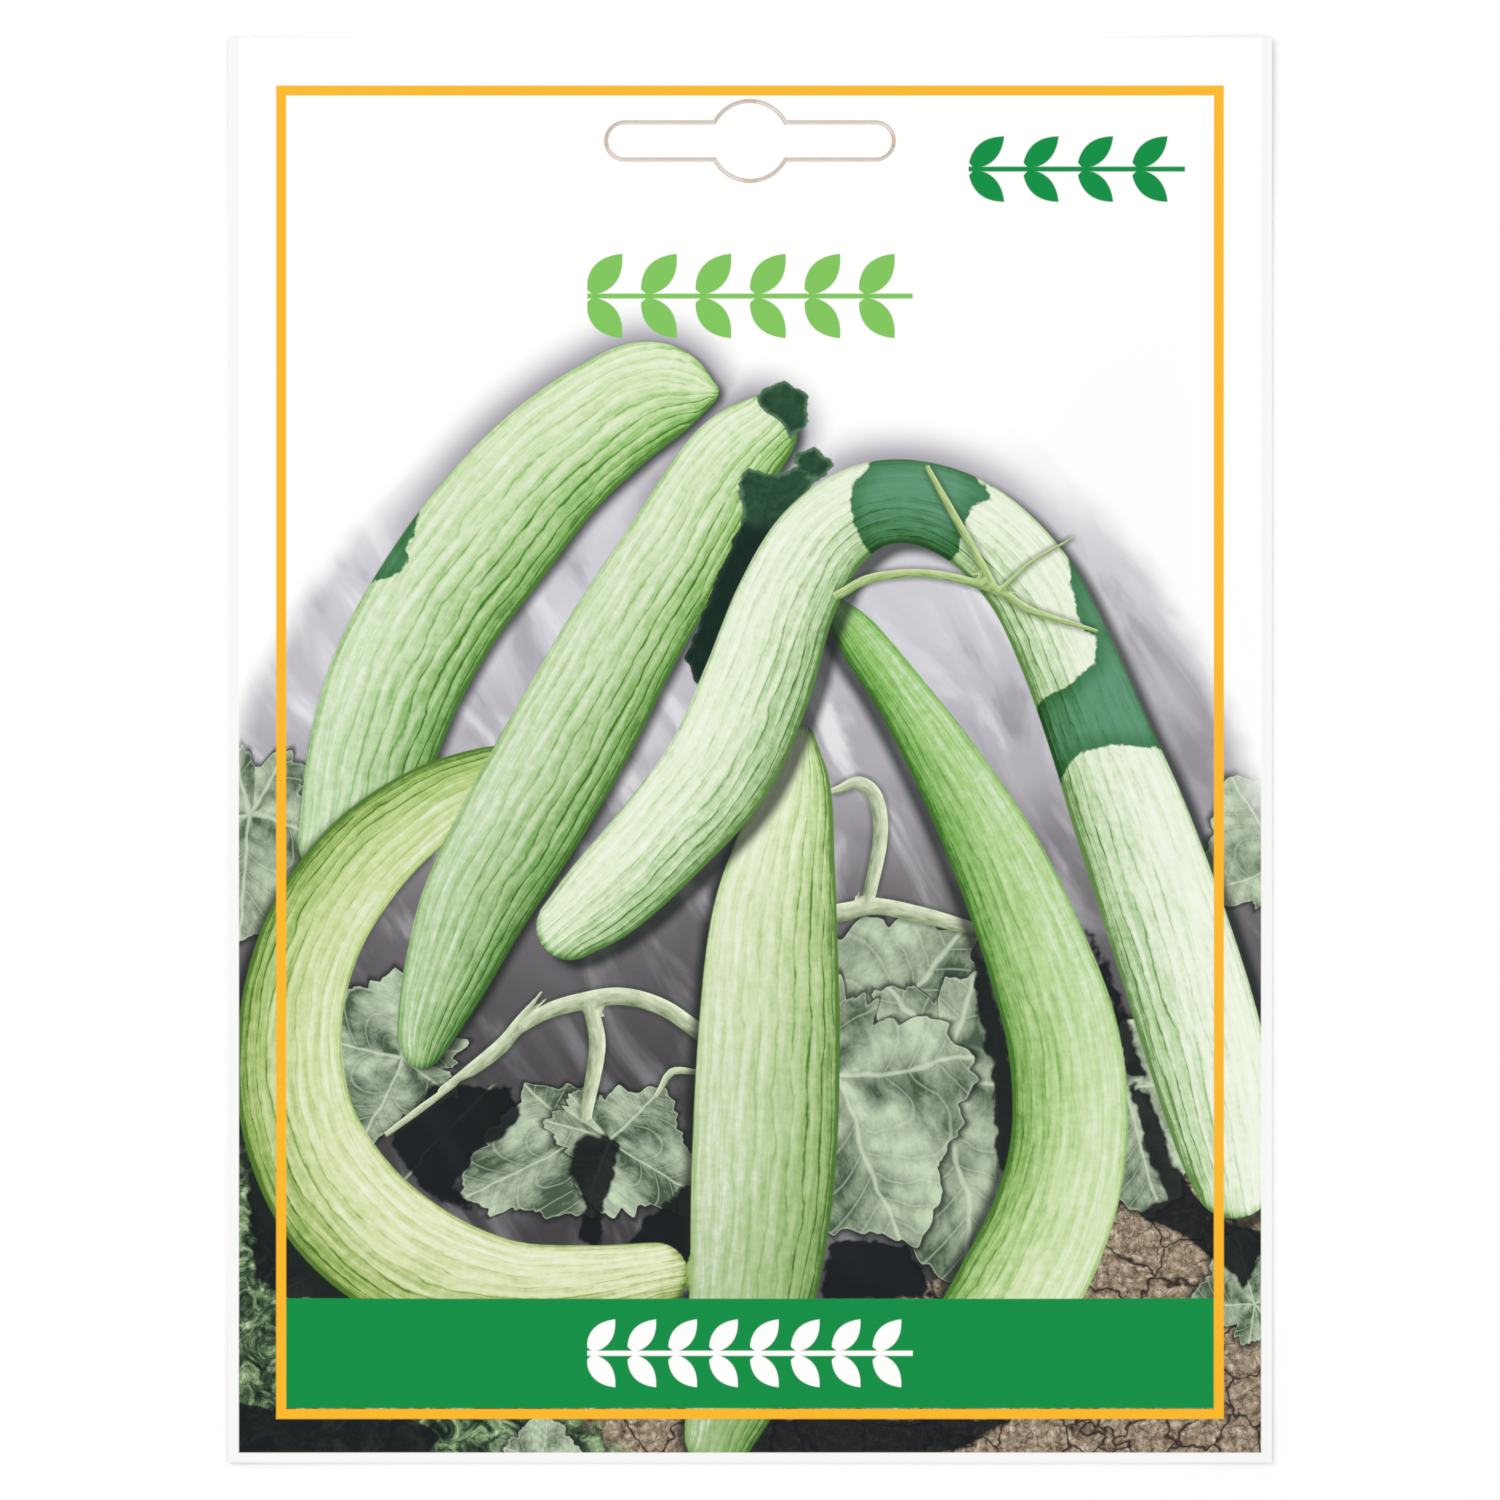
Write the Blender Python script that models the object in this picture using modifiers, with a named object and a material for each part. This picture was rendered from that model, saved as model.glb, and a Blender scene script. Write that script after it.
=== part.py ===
"""A flat, heat-sealed seed packet with loose seeds inside, lying on its back.

Metres, +Z up. The origin is the middle of the back face, on the surface that the packet rests on.
+Y runs to the top edge, which has the pre-cut hanging slot, and the printed front faces +Z.
"""

import math
import random

import bmesh
import bpy

MM = 0.001

# The packet: two webs of paper laminate, sealed to each other along all four edges.
PACKET_WIDTH = 115 * MM
PACKET_HEIGHT = 157 * MM
WEB_THICKNESS = 0.12 * MM
WEB_GAP = 0.1 * MM
SIDE_SEAL = 8 * MM
BOTTOM_SEAL = 8 * MM
HEADER_SEAL = 24 * MM

# The pouch: the front web swells over the seeds, and the back web lies flat.
POUCH_RISE = 1.9 * MM
POUCH_SLOPE = 18 * MM
WEB_CELL = 5 * MM

# The hanging slot: a round middle with a wing on each side, cut through both webs.
# Uncut nicks at the wing ends and above and below the middle still hold the tab in place.
SLOT_WIDTH = 32 * MM
SLOT_WING_HEIGHT = 4.4 * MM
SLOT_MIDDLE_DIAMETER = 9.1 * MM
SLOT_BELOW_TOP = 11.4 * MM
KERF = 0.3 * MM
NICK = 0.8 * MM
CUTTER_DEPTH = 10 * MM
SLOT_SEGMENTS = 32

# The seeds: flat ovals with one pointed end, lying loose on the back web.
SEED_LENGTH = 9.6 * MM
SEED_WIDTH = 4.0 * MM
SEED_THICKNESS = 1.5 * MM
SEED_POINT = 0.45
SEED_SEGMENTS = 12
SEED_RINGS = 6
SEED_ROWS = 8
SEEDS_PER_ROW = 5
SEED_CLEARANCE = 0.12 * MM
SEED_SPACING = 0.3 * MM
SCATTER_SEED = 11

TOP_EDGE = PACKET_HEIGHT / 2
POUCH_HALF_WIDTH = PACKET_WIDTH / 2 - SIDE_SEAL
POUCH_BOTTOM = -PACKET_HEIGHT / 2 + BOTTOM_SEAL
POUCH_TOP = TOP_EDGE - HEADER_SEAL
SLOT_Y = TOP_EDGE - SLOT_BELOW_TOP
FRONT_WEB_Z = WEB_THICKNESS + WEB_GAP


def clear_scene():
    for old in list(bpy.data.objects):
        bpy.data.objects.remove(old, do_unlink=True)


def new_collection(name):
    collection = bpy.data.collections.new(name)
    bpy.context.scene.collection.children.link(collection)
    return collection


def move_to(collection, thing):
    for old in list(thing.users_collection):
        old.objects.unlink(thing)
    collection.objects.link(thing)


def principled(name, colour, roughness):
    material = bpy.data.materials.new(name)
    material.use_nodes = True
    shader = material.node_tree.nodes["Principled BSDF"]
    shader.inputs["Base Color"].default_value = (*colour, 1)
    shader.inputs["Roughness"].default_value = roughness
    shader.inputs["Metallic"].default_value = 0
    return material


def smoothstep(value):
    value = min(max(value, 0), 1)
    return value * value * (3 - 2 * value)


def pouch_rise(x, y):
    """How far the front web stands off its sealed level: nothing at the seals, all of it in the middle."""
    across = smoothstep((POUCH_HALF_WIDTH - abs(x)) / POUCH_SLOPE)
    above_bottom = smoothstep((y - POUCH_BOTTOM) / POUCH_SLOPE)
    below_header = smoothstep((POUCH_TOP - y) / POUCH_SLOPE)
    return POUCH_RISE * across * above_bottom * below_header


def add_boolean(thing, other, operation):
    cut = thing.modifiers.new(f"{operation.title()} {other.name}", "BOOLEAN")
    cut.operation = operation
    cut.solver = "EXACT"
    cut.object = other


def hide_cutter(thing, cutters):
    thing.hide_render = True
    thing.display_type = "WIRE"
    move_to(cutters, thing)


def cutter_box(name, width, height, cutters):
    bpy.ops.mesh.primitive_cube_add(size=1, location=(0, SLOT_Y, 0))
    box = bpy.context.object
    box.name = name
    box.scale = (width, height, CUTTER_DEPTH)
    hide_cutter(box, cutters)
    return box


def cutter_disc(name, x, radius, depth, cutters):
    bpy.ops.mesh.primitive_cylinder_add(
        vertices=SLOT_SEGMENTS, radius=radius, depth=depth, location=(x, SLOT_Y, 0)
    )
    disc = bpy.context.object
    disc.name = name
    hide_cutter(disc, cutters)
    return disc


def slot_solid(name, inset, depth, cutters):
    """The slot's outline made smaller by inset, as one upright solid: two round-ended wings and a middle."""
    wing_radius = SLOT_WING_HEIGHT / 2 - inset
    wing_centre = SLOT_WIDTH / 2 - SLOT_WING_HEIGHT / 2
    solid = cutter_disc(f"{name}_middle", 0, SLOT_MIDDLE_DIAMETER / 2 - inset, depth, cutters)
    wings = cutter_box(f"{name}_wings", 2 * wing_centre, 2 * wing_radius, cutters)
    wings.scale.z = depth
    add_boolean(solid, wings, "UNION")
    for side in (-1, 1):
        end = cutter_disc(f"{name}_end", side * wing_centre, wing_radius, depth, cutters)
        add_boolean(solid, end, "UNION")
    return solid


def kerf_cutter(cutters):
    """The cut line round the tab, less the four nicks."""
    kerf = slot_solid("slot_outer", 0, CUTTER_DEPTH / 2, cutters)
    tab = slot_solid("slot_inner", KERF, CUTTER_DEPTH, cutters)
    add_boolean(kerf, tab, "DIFFERENCE")
    end_nicks = cutter_box("nicks_at_ends", 2 * SLOT_WIDTH, NICK, cutters)
    middle_nicks = cutter_box("nicks_at_middle", NICK, SLOT_WIDTH, cutters)
    add_boolean(kerf, end_nicks, "DIFFERENCE")
    add_boolean(kerf, middle_nicks, "DIFFERENCE")
    return kerf


def web(name, level, rises, material, kerf, packet):
    """One web as a sheet of cells, raised over the pouch if it is the front one, given its thickness."""
    columns = round(PACKET_WIDTH / WEB_CELL) if rises else 1
    rows = round(PACKET_HEIGHT / WEB_CELL) if rises else 1
    bpy.ops.mesh.primitive_grid_add(x_subdivisions=columns, y_subdivisions=rows, size=1)
    sheet = bpy.context.object
    sheet.name = name
    for vertex in sheet.data.vertices:
        vertex.co.x *= PACKET_WIDTH
        vertex.co.y *= PACKET_HEIGHT
        vertex.co.z = level
        if rises:
            vertex.co.z += pouch_rise(vertex.co.x, vertex.co.y)
    sheet.data.materials.append(material)
    sheet.data.shade_smooth()
    thickness = sheet.modifiers.new("Web thickness", "SOLIDIFY")
    thickness.thickness = WEB_THICKNESS
    thickness.offset = 1
    add_boolean(sheet, kerf, "DIFFERENCE")
    move_to(packet, sheet)
    return sheet


def seed_mesh(material):
    """A flattened sphere, drawn out to a point at its +X end."""
    mesh = bpy.data.meshes.new("seed")
    shape = bmesh.new()
    bmesh.ops.create_uvsphere(shape, u_segments=SEED_SEGMENTS, v_segments=SEED_RINGS, radius=0.5)
    for vertex in shape.verts:
        narrowing = 1 - SEED_POINT * smoothstep(2 * vertex.co.x)
        vertex.co.x *= SEED_LENGTH
        vertex.co.y *= SEED_WIDTH * narrowing
        vertex.co.z *= SEED_THICKNESS * narrowing
    shape.to_mesh(mesh)
    shape.free()
    mesh.materials.append(material)
    mesh.shade_smooth()
    return mesh


def seed_places():
    """A staggered scatter inside the level part of the pouch, in which no two seeds can meet."""
    random_places = random.Random(SCATTER_SEED)
    low_x, high_x = POUCH_SLOPE - POUCH_HALF_WIDTH, POUCH_HALF_WIDTH - POUCH_SLOPE
    low_y, high_y = POUCH_BOTTOM + POUCH_SLOPE, POUCH_TOP - POUCH_SLOPE
    cell_x = (high_x - low_x) / SEEDS_PER_ROW
    cell_y = (high_y - low_y) / SEED_ROWS
    reach = SEED_LENGTH + SEED_SPACING
    loose_x = (cell_x - reach) / 2
    loose_y = (cell_y - reach) / 2
    for row in range(SEED_ROWS):
        for column in range(SEEDS_PER_ROW):
            x = low_x + (column + 0.5) * cell_x + random_places.uniform(-loose_x, loose_x)
            y = low_y + (row + 0.5) * cell_y + random_places.uniform(-loose_y, loose_y)
            yield x, y, random_places.uniform(0, 2 * math.pi)


def add_seeds(material, packet):
    mesh = seed_mesh(material)
    centre_z = WEB_THICKNESS + SEED_CLEARANCE + SEED_THICKNESS / 2
    for number, (x, y, turn) in enumerate(seed_places(), start=1):
        seed = bpy.data.objects.new(f"seed_{number:02d}", mesh)
        seed.location = (x, y, centre_z)
        seed.rotation_euler = (0, 0, turn)
        packet.objects.link(seed)


def main():
    clear_scene()
    packet = new_collection("seed_packet")
    cutters = new_collection("cutters")
    front_paper = principled("front_paper", (0.62, 0.75, 0.50), 0.45)
    back_paper = principled("back_paper", (0.93, 0.93, 0.91), 0.5)
    seed_coat = principled("seed_coat", (0.80, 0.70, 0.48), 0.6)
    kerf = kerf_cutter(cutters)
    web("back_panel", 0, False, back_paper, kerf, packet)
    web("front_panel", FRONT_WEB_Z, True, front_paper, kerf, packet)
    add_seeds(seed_coat, packet)


main()
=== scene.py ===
"""The looks of a flat seed packet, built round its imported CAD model.

Lengths are metres in the row frame, and millimetres from the packet's middle in the front's print:
+X to the right and +Y up, as someone who holds the packet reads it.
"""

import math

import bmesh
import bpy
import numpy as np
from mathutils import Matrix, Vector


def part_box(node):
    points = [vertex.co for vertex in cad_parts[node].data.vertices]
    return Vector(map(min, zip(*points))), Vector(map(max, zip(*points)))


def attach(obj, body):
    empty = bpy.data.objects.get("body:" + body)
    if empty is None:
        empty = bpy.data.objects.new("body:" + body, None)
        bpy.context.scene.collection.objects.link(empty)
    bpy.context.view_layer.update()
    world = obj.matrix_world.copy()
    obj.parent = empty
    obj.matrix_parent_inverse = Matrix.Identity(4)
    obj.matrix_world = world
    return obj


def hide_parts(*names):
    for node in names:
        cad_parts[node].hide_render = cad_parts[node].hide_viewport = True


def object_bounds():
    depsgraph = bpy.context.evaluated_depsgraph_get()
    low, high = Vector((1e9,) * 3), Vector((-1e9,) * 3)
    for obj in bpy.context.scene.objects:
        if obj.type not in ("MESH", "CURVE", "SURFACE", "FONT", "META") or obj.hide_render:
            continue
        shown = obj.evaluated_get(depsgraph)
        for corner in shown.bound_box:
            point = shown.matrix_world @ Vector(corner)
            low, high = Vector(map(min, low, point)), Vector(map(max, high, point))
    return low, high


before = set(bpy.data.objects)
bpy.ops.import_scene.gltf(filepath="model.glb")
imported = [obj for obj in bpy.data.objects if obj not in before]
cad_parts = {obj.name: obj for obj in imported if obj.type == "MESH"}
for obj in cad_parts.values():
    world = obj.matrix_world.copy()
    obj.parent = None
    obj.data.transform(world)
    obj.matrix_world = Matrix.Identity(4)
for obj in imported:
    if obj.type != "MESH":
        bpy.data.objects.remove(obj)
cad_low, cad_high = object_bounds()

MM = 0.001

# The packet's own sizes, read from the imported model.
WIDTH = cad_high[0] - cad_low[0]
HEIGHT = cad_high[1] - cad_low[1]
TOP_EDGE = cad_high[1]
BACK_LOW, BACK_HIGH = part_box("back_panel")
FRONT_LOW, FRONT_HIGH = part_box("front_panel")
WEB_THICKNESS = BACK_HIGH.z - BACK_LOW.z
SEEDS = sorted(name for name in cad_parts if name.startswith("seed_"))

# The pouch and the paper's own shape.
SIDE_SEAL = 8 * MM
BOTTOM_SEAL = 8 * MM
HEADER_SEAL = 24 * MM
POUCH_SLOPE = 19 * MM
POUCH_RISE = FRONT_HIGH.z - FRONT_LOW.z - WEB_THICKNESS
SEED_BUMP = 0.16 * MM
SEED_BUMP_REACH = 3.6 * MM
PUCKER = 0.09 * MM
SIDE_CREASES = {"pitch": 4.3 * MM, "drift": 11 * MM, "sway": 1.7}
END_CREASES = {"pitch": 4.7 * MM, "drift": 13 * MM, "sway": 1.9}
WAVE = 0.05 * MM
WAVE_ACROSS = 17 * MM
WAVE_UP = 23 * MM
CORNER_LIFT = 0.35 * MM
CORNER_REACH = 26 * MM
SHARP_ANGLE = math.radians(50)

# The pre-cut slot.
SLOT_BELOW_TOP = 11.4 * MM
SLOT_HALF_WIDTH = 16 * MM
SLOT_WING_RADIUS = 2.2 * MM
SLOT_MIDDLE_RADIUS = 4.55 * MM
KERF = 0.3 * MM
HALF_NICK = 0.4 * MM
ARC_STEPS = 14
CUTTER_HALF_DEPTH = 5 * MM
WELD_DISTANCE = 0.001 * MM

# Mesh cells across and up the packet.
SHEET_CELLS = ((180, 246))

# The front's layout, in millimetres.
PRINT_HALF_WIDTH = 56.3
PRINT_BOTTOM = -77.4
FRAME_HALF_WIDTH = 52.2
FRAME_MIDDLE_Y = -0.25
FRAME_HALF_HEIGHT = 73.45
FRAME_LINE = 1.1
BAND_TOP = -60.4
BAND_BOTTOM = -72.5
INK_EDGE = 0.09
# Leaf sprigs: the stem's middle and half length, and the leaves' pitch, length, half width and lean.
TITLE_SPRIG = {
    "middle": (0, 50), "half_length": 18,
    "pitch": 6, "length": 6.1, "half_width": 1.5, "lean": 50,
}
CORNER_SPRIG = {
    "middle": (36, 64), "half_length": 12,
    "pitch": 6, "length": 5.4, "half_width": 1.2, "lean": 42,
}
BAND_SPRIG = {
    "middle": (0, (BAND_TOP + BAND_BOTTOM) / 2), "half_length": 18,
    "pitch": 4.5, "length": 4.9, "half_width": 1.15, "lean": 50,
}
STEM_HALF_WIDTH = 0.28

# The back's empty sowing chart, in millimetres.
CHART_HALF_WIDTH = 45
CHART_BOTTOM = -45
CHART_HALF_HEIGHT = 9
CHART_COLUMN = 7.5
CHART_ROW = 6
CHART_LINE = 0.24


def ink(red, green, blue):
    """A printed colour, 0 to 255 a channel as a screen shows it, as the linear colour that shaders take."""
    shown = np.array((red, green, blue)) / 255
    linear = np.where(shown <= 0.04045, shown / 12.92, ((shown + 0.055) / 1.055) ** 2.4)
    return (*map(float, linear), 1.0)


AMBER = ink(250, 183, 40)
BAND_GREEN = ink(5, 142, 68)
SPRIG_GREEN = ink(128, 196, 92)
PAPER_WHITE = ink(253, 253, 252)
RIM_WHITE = ink(246, 246, 245)
DIE_LINE = ink(216, 188, 162)


# ---- The picture's shapes, in millimetres ----

# Each long vegetable is a path of (x, y, half width). Its lit side is 1 to the left of the way the path
# runs and -1 to the right, its body and pale colours run from the path's start to its end, and its bands
# are the outlines of the leaf shadows on it.
LONG_FRUIT = {
    "upper": {
        "path": [
            (-4.8, 39.4, 1.4), (-10.6, 39.4, 5.5), (-16, 36.4, 6.5), (-22.5, 31, 7.1), (-28.6, 23.9, 7.6),
            (-34.4, 16, 7.5), (-38.8, 8, 7.4), (-41.6, 0, 7), (-44, -10, 5.8),
        ],
        "lit_side": -1,
        "shadow": (0.4, -0.4),
        "ribbing": 1.0,
        "body": (ink(150, 196, 112), ink(122, 166, 96)),
        "pale": (ink(214, 230, 186), ink(186, 211, 164)),
        "bands": [
            [(-42, 18.4), (-42, 24), (-36.4, 26.4), (-37, 23.4), (-38, 22.6), (-37.4, 20.6), (-39.6, 19)],
        ],
    },
    "hook": {
        "path": [
            (-24, -1.2, 1.6), (-29, -2.8, 3.1), (-36, -6.5, 4.4), (-43, -12.5, 5.2), (-48.4, -21, 5.5),
            (-50.7, -31, 5.7), (-49.6, -41.5, 6.3), (-44.6, -50.5, 7), (-36.5, -56.8, 6.8),
            (-27, -59.5, 5.6), (-18, -59.2, 4.7), (-10.4, -57.8, 3.6),
        ],
        "lit_side": 1,
        "shadow": (-0.9, -0.9),
        "ribbing": 0.9,
        "body": (ink(146, 182, 94), ink(162, 180, 104)),
        "pale": (ink(192, 212, 142), ink(224, 229, 186)),
        "bands": [],
    },
    "second": {
        "path": [
            (1.2, 34.9, 4), (-0.9, 33, 4.8), (-3.4, 29.8, 5.3), (-8.5, 21.1, 5.9), (-14, 12.1, 6.3),
            (-19.4, 2.2, 6.7), (-25, -7.6, 6.6), (-30.2, -16.8, 5.9), (-33.4, -24.6, 4.7),
            (-35.6, -30.6, 3.2), (-36.1, -32.9, 2.2),
        ],
        "lit_side": -1,
        "shadow": (0.6, -0.2),
        "ribbing": 1.0,
        "body": (ink(152, 196, 112), ink(104, 148, 82)),
        "pale": (ink(216, 231, 192), ink(164, 196, 138)),
        "bands": [],
    },
    "upright": {
        "path": [
            (5.9, 1.4, 1.2), (5.3, -4.6, 3.6), (3.7, -12, 5.6), (2.6, -20, 7), (2.1, -32, 7.8),
            (1.5, -46, 7.9), (0.5, -58, 7.1), (-1.2, -68, 5.8), (-3.4, -75.5, 3.8),
        ],
        "lit_side": -1,
        "shadow": (-0.7, -0.3),
        "ribbing": 0.75,
        "body": (ink(182, 208, 138), ink(116, 156, 86)),
        "pale": (ink(228, 238, 200), ink(152, 182, 120)),
        "bands": [],
    },
    "arch": {
        "path": [
            (-19.8, -19.4, 3.7), (-15.6, -15.8, 4.9), (-9.5, -9.5, 5.5), (-3.4, -2, 6), (0.7, 7, 6),
            (3.8, 15.9, 5.5), (7.7, 22.9, 5.1), (13, 26.8, 4.7), (19, 27.1, 4.6), (25.2, 24.3, 4.8),
            (30.8, 18.4, 5), (34.8, 10.5, 5.2), (38.4, 1.5, 5.6), (42, -8, 6.3), (46, -19.5, 6.6),
            (49.6, -31, 6.6), (52.3, -41.5, 5.9), (53.3, -47, 4.6),
        ],
        "lit_side": 1,
        "shadow": (1.3, -0.9),
        "ribbing": 0.8,
        "body": (ink(156, 190, 132), ink(184, 210, 160)),
        "pale": (ink(222, 234, 202), ink(234, 242, 222)),
        "bands": [
            [
                (11.1, 28.8), (13.6, 32), (20, 33), (23.4, 31.8), (26.8, 27.6), (24.6, 27.1),
                (23.6, 24.9), (22.7, 21), (18, 21), (14, 20.4), (12, 23.5), (11.1, 26.3),
            ],
            [
                (26.5, 29.4), (28.9, 28), (33.1, 24.1), (35.2, 21), (35.2, 18.8), (36.4, 13.6),
                (38.1, 12.4), (38, 9.8), (35.3, 7.2), (32, 5.6), (31, 2.9), (32, -0.7), (33.8, -4.4),
                (35.4, -1.2), (36.6, -0.1), (40.2, 0.5), (46, 0.1), (46, 12), (38, 27), (30, 33),
            ],
        ],
    },
    "inner": {
        "path": [
            (9.6, 15.5, 1.2), (11.9, 12.4, 2.4), (16.9, 5.6, 3), (22.3, -2.9, 4), (27.3, -12.2, 5),
            (31.6, -22.6, 5.7), (34.5, -32, 6.2), (35.2, -42, 6.4), (33.4, -51, 6.6), (29.2, -59.8, 6.7),
            (24, -66.5, 5.4),
        ],
        "lit_side": 1,
        "shadow": (-1.1, -0.5),
        "ribbing": 0.45,
        "body": (ink(96, 156, 64), ink(156, 194, 112)),
        "pale": (ink(150, 198, 112), ink(218, 231, 184)),
        "bands": [],
    },
}
# From the bottom of the pile to its top. Fruit in one layer don't meet.
FRUIT_LAYERS = (("upper", "inner"), ("hook", "upright"), ("second",), ("arch",))
# Samples between two points of a path, and a distance that counts as far from every outline.
PATH_STEPS = 16
FAR = 60.0

# Vine stems, as paths of (x, y, half width).
VINES_BEHIND = [
    [(-39.6, -42, 0.3), (-36.4, -39.6, 0.4), (-32.6, -36.8, 0.3)],
    [
        (-33.6, -36.9, 0.12), (-30.4, -35, 0.7), (-27, -32.2, 0.8), (-25.2, -29.6, 0.5),
        (-23.2, -27, 0.12),
    ],
    [
        (-27, -31.9, 0.4), (-22.6, -28.9, 0.8), (-18.2, -27.6, 0.95), (-14, -27.1, 0.95),
        (-9.6, -28.3, 0.9), (-5.6, -31, 0.9),
    ],
    [(-17.6, -28.1, 0.8), (-16.8, -32.7, 0.9), (-18, -39.7, 0.7)],
    [(9.6, -4.4, 0.4), (12, -3.6, 0.7), (13.9, -5.4, 0.8), (14.3, -9.9, 0.8), (12.9, -17, 0.7)],
    [(10.4, -17.8, 1), (14, -17.2, 0.9), (19, -18.2, 0.9), (24.4, -19.6, 0.7)],
    [(-10, -37.6, 0.3), (-8.6, -35.4, 0.4), (-6, -35.4, 0.3)],
]
VINES_IN_FRONT = [
    [
        (10, 17.2, 0.5), (13.4, 18.9, 0.5), (19.6, 19.4, 0.45), (26.8, 17.7, 0.5), (31, 15.3, 0.42),
        (37.8, 13.2, 0.2),
    ],
    [(19.7, 30.7, 0.3), (22.5, 25.7, 0.42), (25.3, 20.7, 0.45), (26.8, 17.9, 0.5)],
    [(27.5, 17.5, 0.3), (31, 20.7, 0.18), (35.3, 23.2, 0.12)],
]
# Deep shade between and under things.
GAPS = [
    [
        (-39.2, -42.4), (-34.9, -36.7), (-26.4, -37.2), (-25.3, -40.4), (-27.6, -43.1), (-30.7, -44.7),
        (-32.6, -47.4), (-30.7, -50.5), (-34.2, -49.7), (-38, -46.2),
    ],
    [
        (-19.5, -43.1), (-17.2, -42.2), (-14.5, -43.1), (-14.9, -46.6), (-16, -49.7), (-16.8, -54.9),
        (-19.1, -54), (-18.3, -49.7), (-19.9, -46.6),
    ],
    [(-11, -51.2), (-6.4, -47.4), (-4, -60.5), (-14.1, -55.1)],
    [(-52.7, -42), (-50, -49.7), (-38.8, -60.6), (-50, -60.8), (-54.6, -58.2), (-55.4, -47.4)],
    [
        (41.5, -36), (43.8, -38), (47.1, -45.9), (51.1, -51.4), (56.2, -53), (56.6, -56), (54.4, -59.6),
        (52.2, -56.7), (47.1, -53.4), (42.6, -50.8), (45.6, -49.4), (43.4, -42.5),
    ],
    [(36.6, -19.4), (38.4, -20.6), (43.8, -36.5), (41.4, -36), (39.8, -28)],
    [(24.4, -21), (26.6, -26), (29, -36), (29.6, -47), (27.2, -46), (26.6, -36), (24.8, -27)],
    [(8.5, -54.4), (13, -53.6), (17.5, -54.6), (20.5, -60.4), (8, -60.4)],
    [(-1, -73.4), (29, -73.4), (25, -76), (20, -78), (-1, -78)],
    [(-57, -72), (-38, -73.6), (-33.5, -75.5), (-36, -78), (-57, -78)],
]
# Dark green leaves, and the dark wedge below them, between the second fruit and the arch.
DARK_LEAVES = [
    [(-0.6, 25.6), (2.6, 26.5), (2.5, 18), (-2, 8), (-5.4, 6.8), (-6.9, 10.2), (-4.1, 17.3)],
    [(-1.3, 29.2), (0, 30.9), (2.8, 30), (5.5, 30.9), (6.8, 29.5), (5, 26.4), (2.2, 24.2), (-0.2, 25.3)],
    [(5, 32.5), (7.2, 33.1), (9, 31.4), (7.7, 29.8), (5.5, 30.6)],
    [(0.8, 39.3), (3.8, 40.4), (6.4, 38.8), (6, 35.6), (4.4, 34.4), (3.2, 36.6), (1.2, 37.8)],
]
# Leaves, from the bottom of the pile to its top: stalk end x and y, length, turn in degrees, and how wide
# the leaf is for its length.
LEAF_LAYERS = (
    (
        (-38.2, -34, 13.5, 165, 1), (10.2, -35.5, 22.5, 50, 1), (-18.8, -43, 16, 206, 0.66),
        (55.6, -61, 9, 105, 1),
    ),
    ((21.5, -36, 24, 278, 1), (-15.6, -42.8, 14.5, 328, 0.7), (-55, -7, 16, 264, 1), (-46, -57, 7, 205, 1)),
    (
        (9.4, -36.2, 21, 292, 1), (41, -37.5, 15, 288, 1), (-23, -78.5, 6, 80, 1),
        (58.5, -13, 12, 118, 1),
    ),
)
# How bright each layer of leaves is, and how far from its middle a leaf counts, in leaf lengths.
LEAF_TONES = (-1.32, -1.27, -1.14)
LEAF_REACH = 1.4
# The leaf's middle on its middle vein, and its lobes and veins in a full turn.
LEAF_MIDDLE = 0.35
LEAF_LOBES = 4.6


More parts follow.
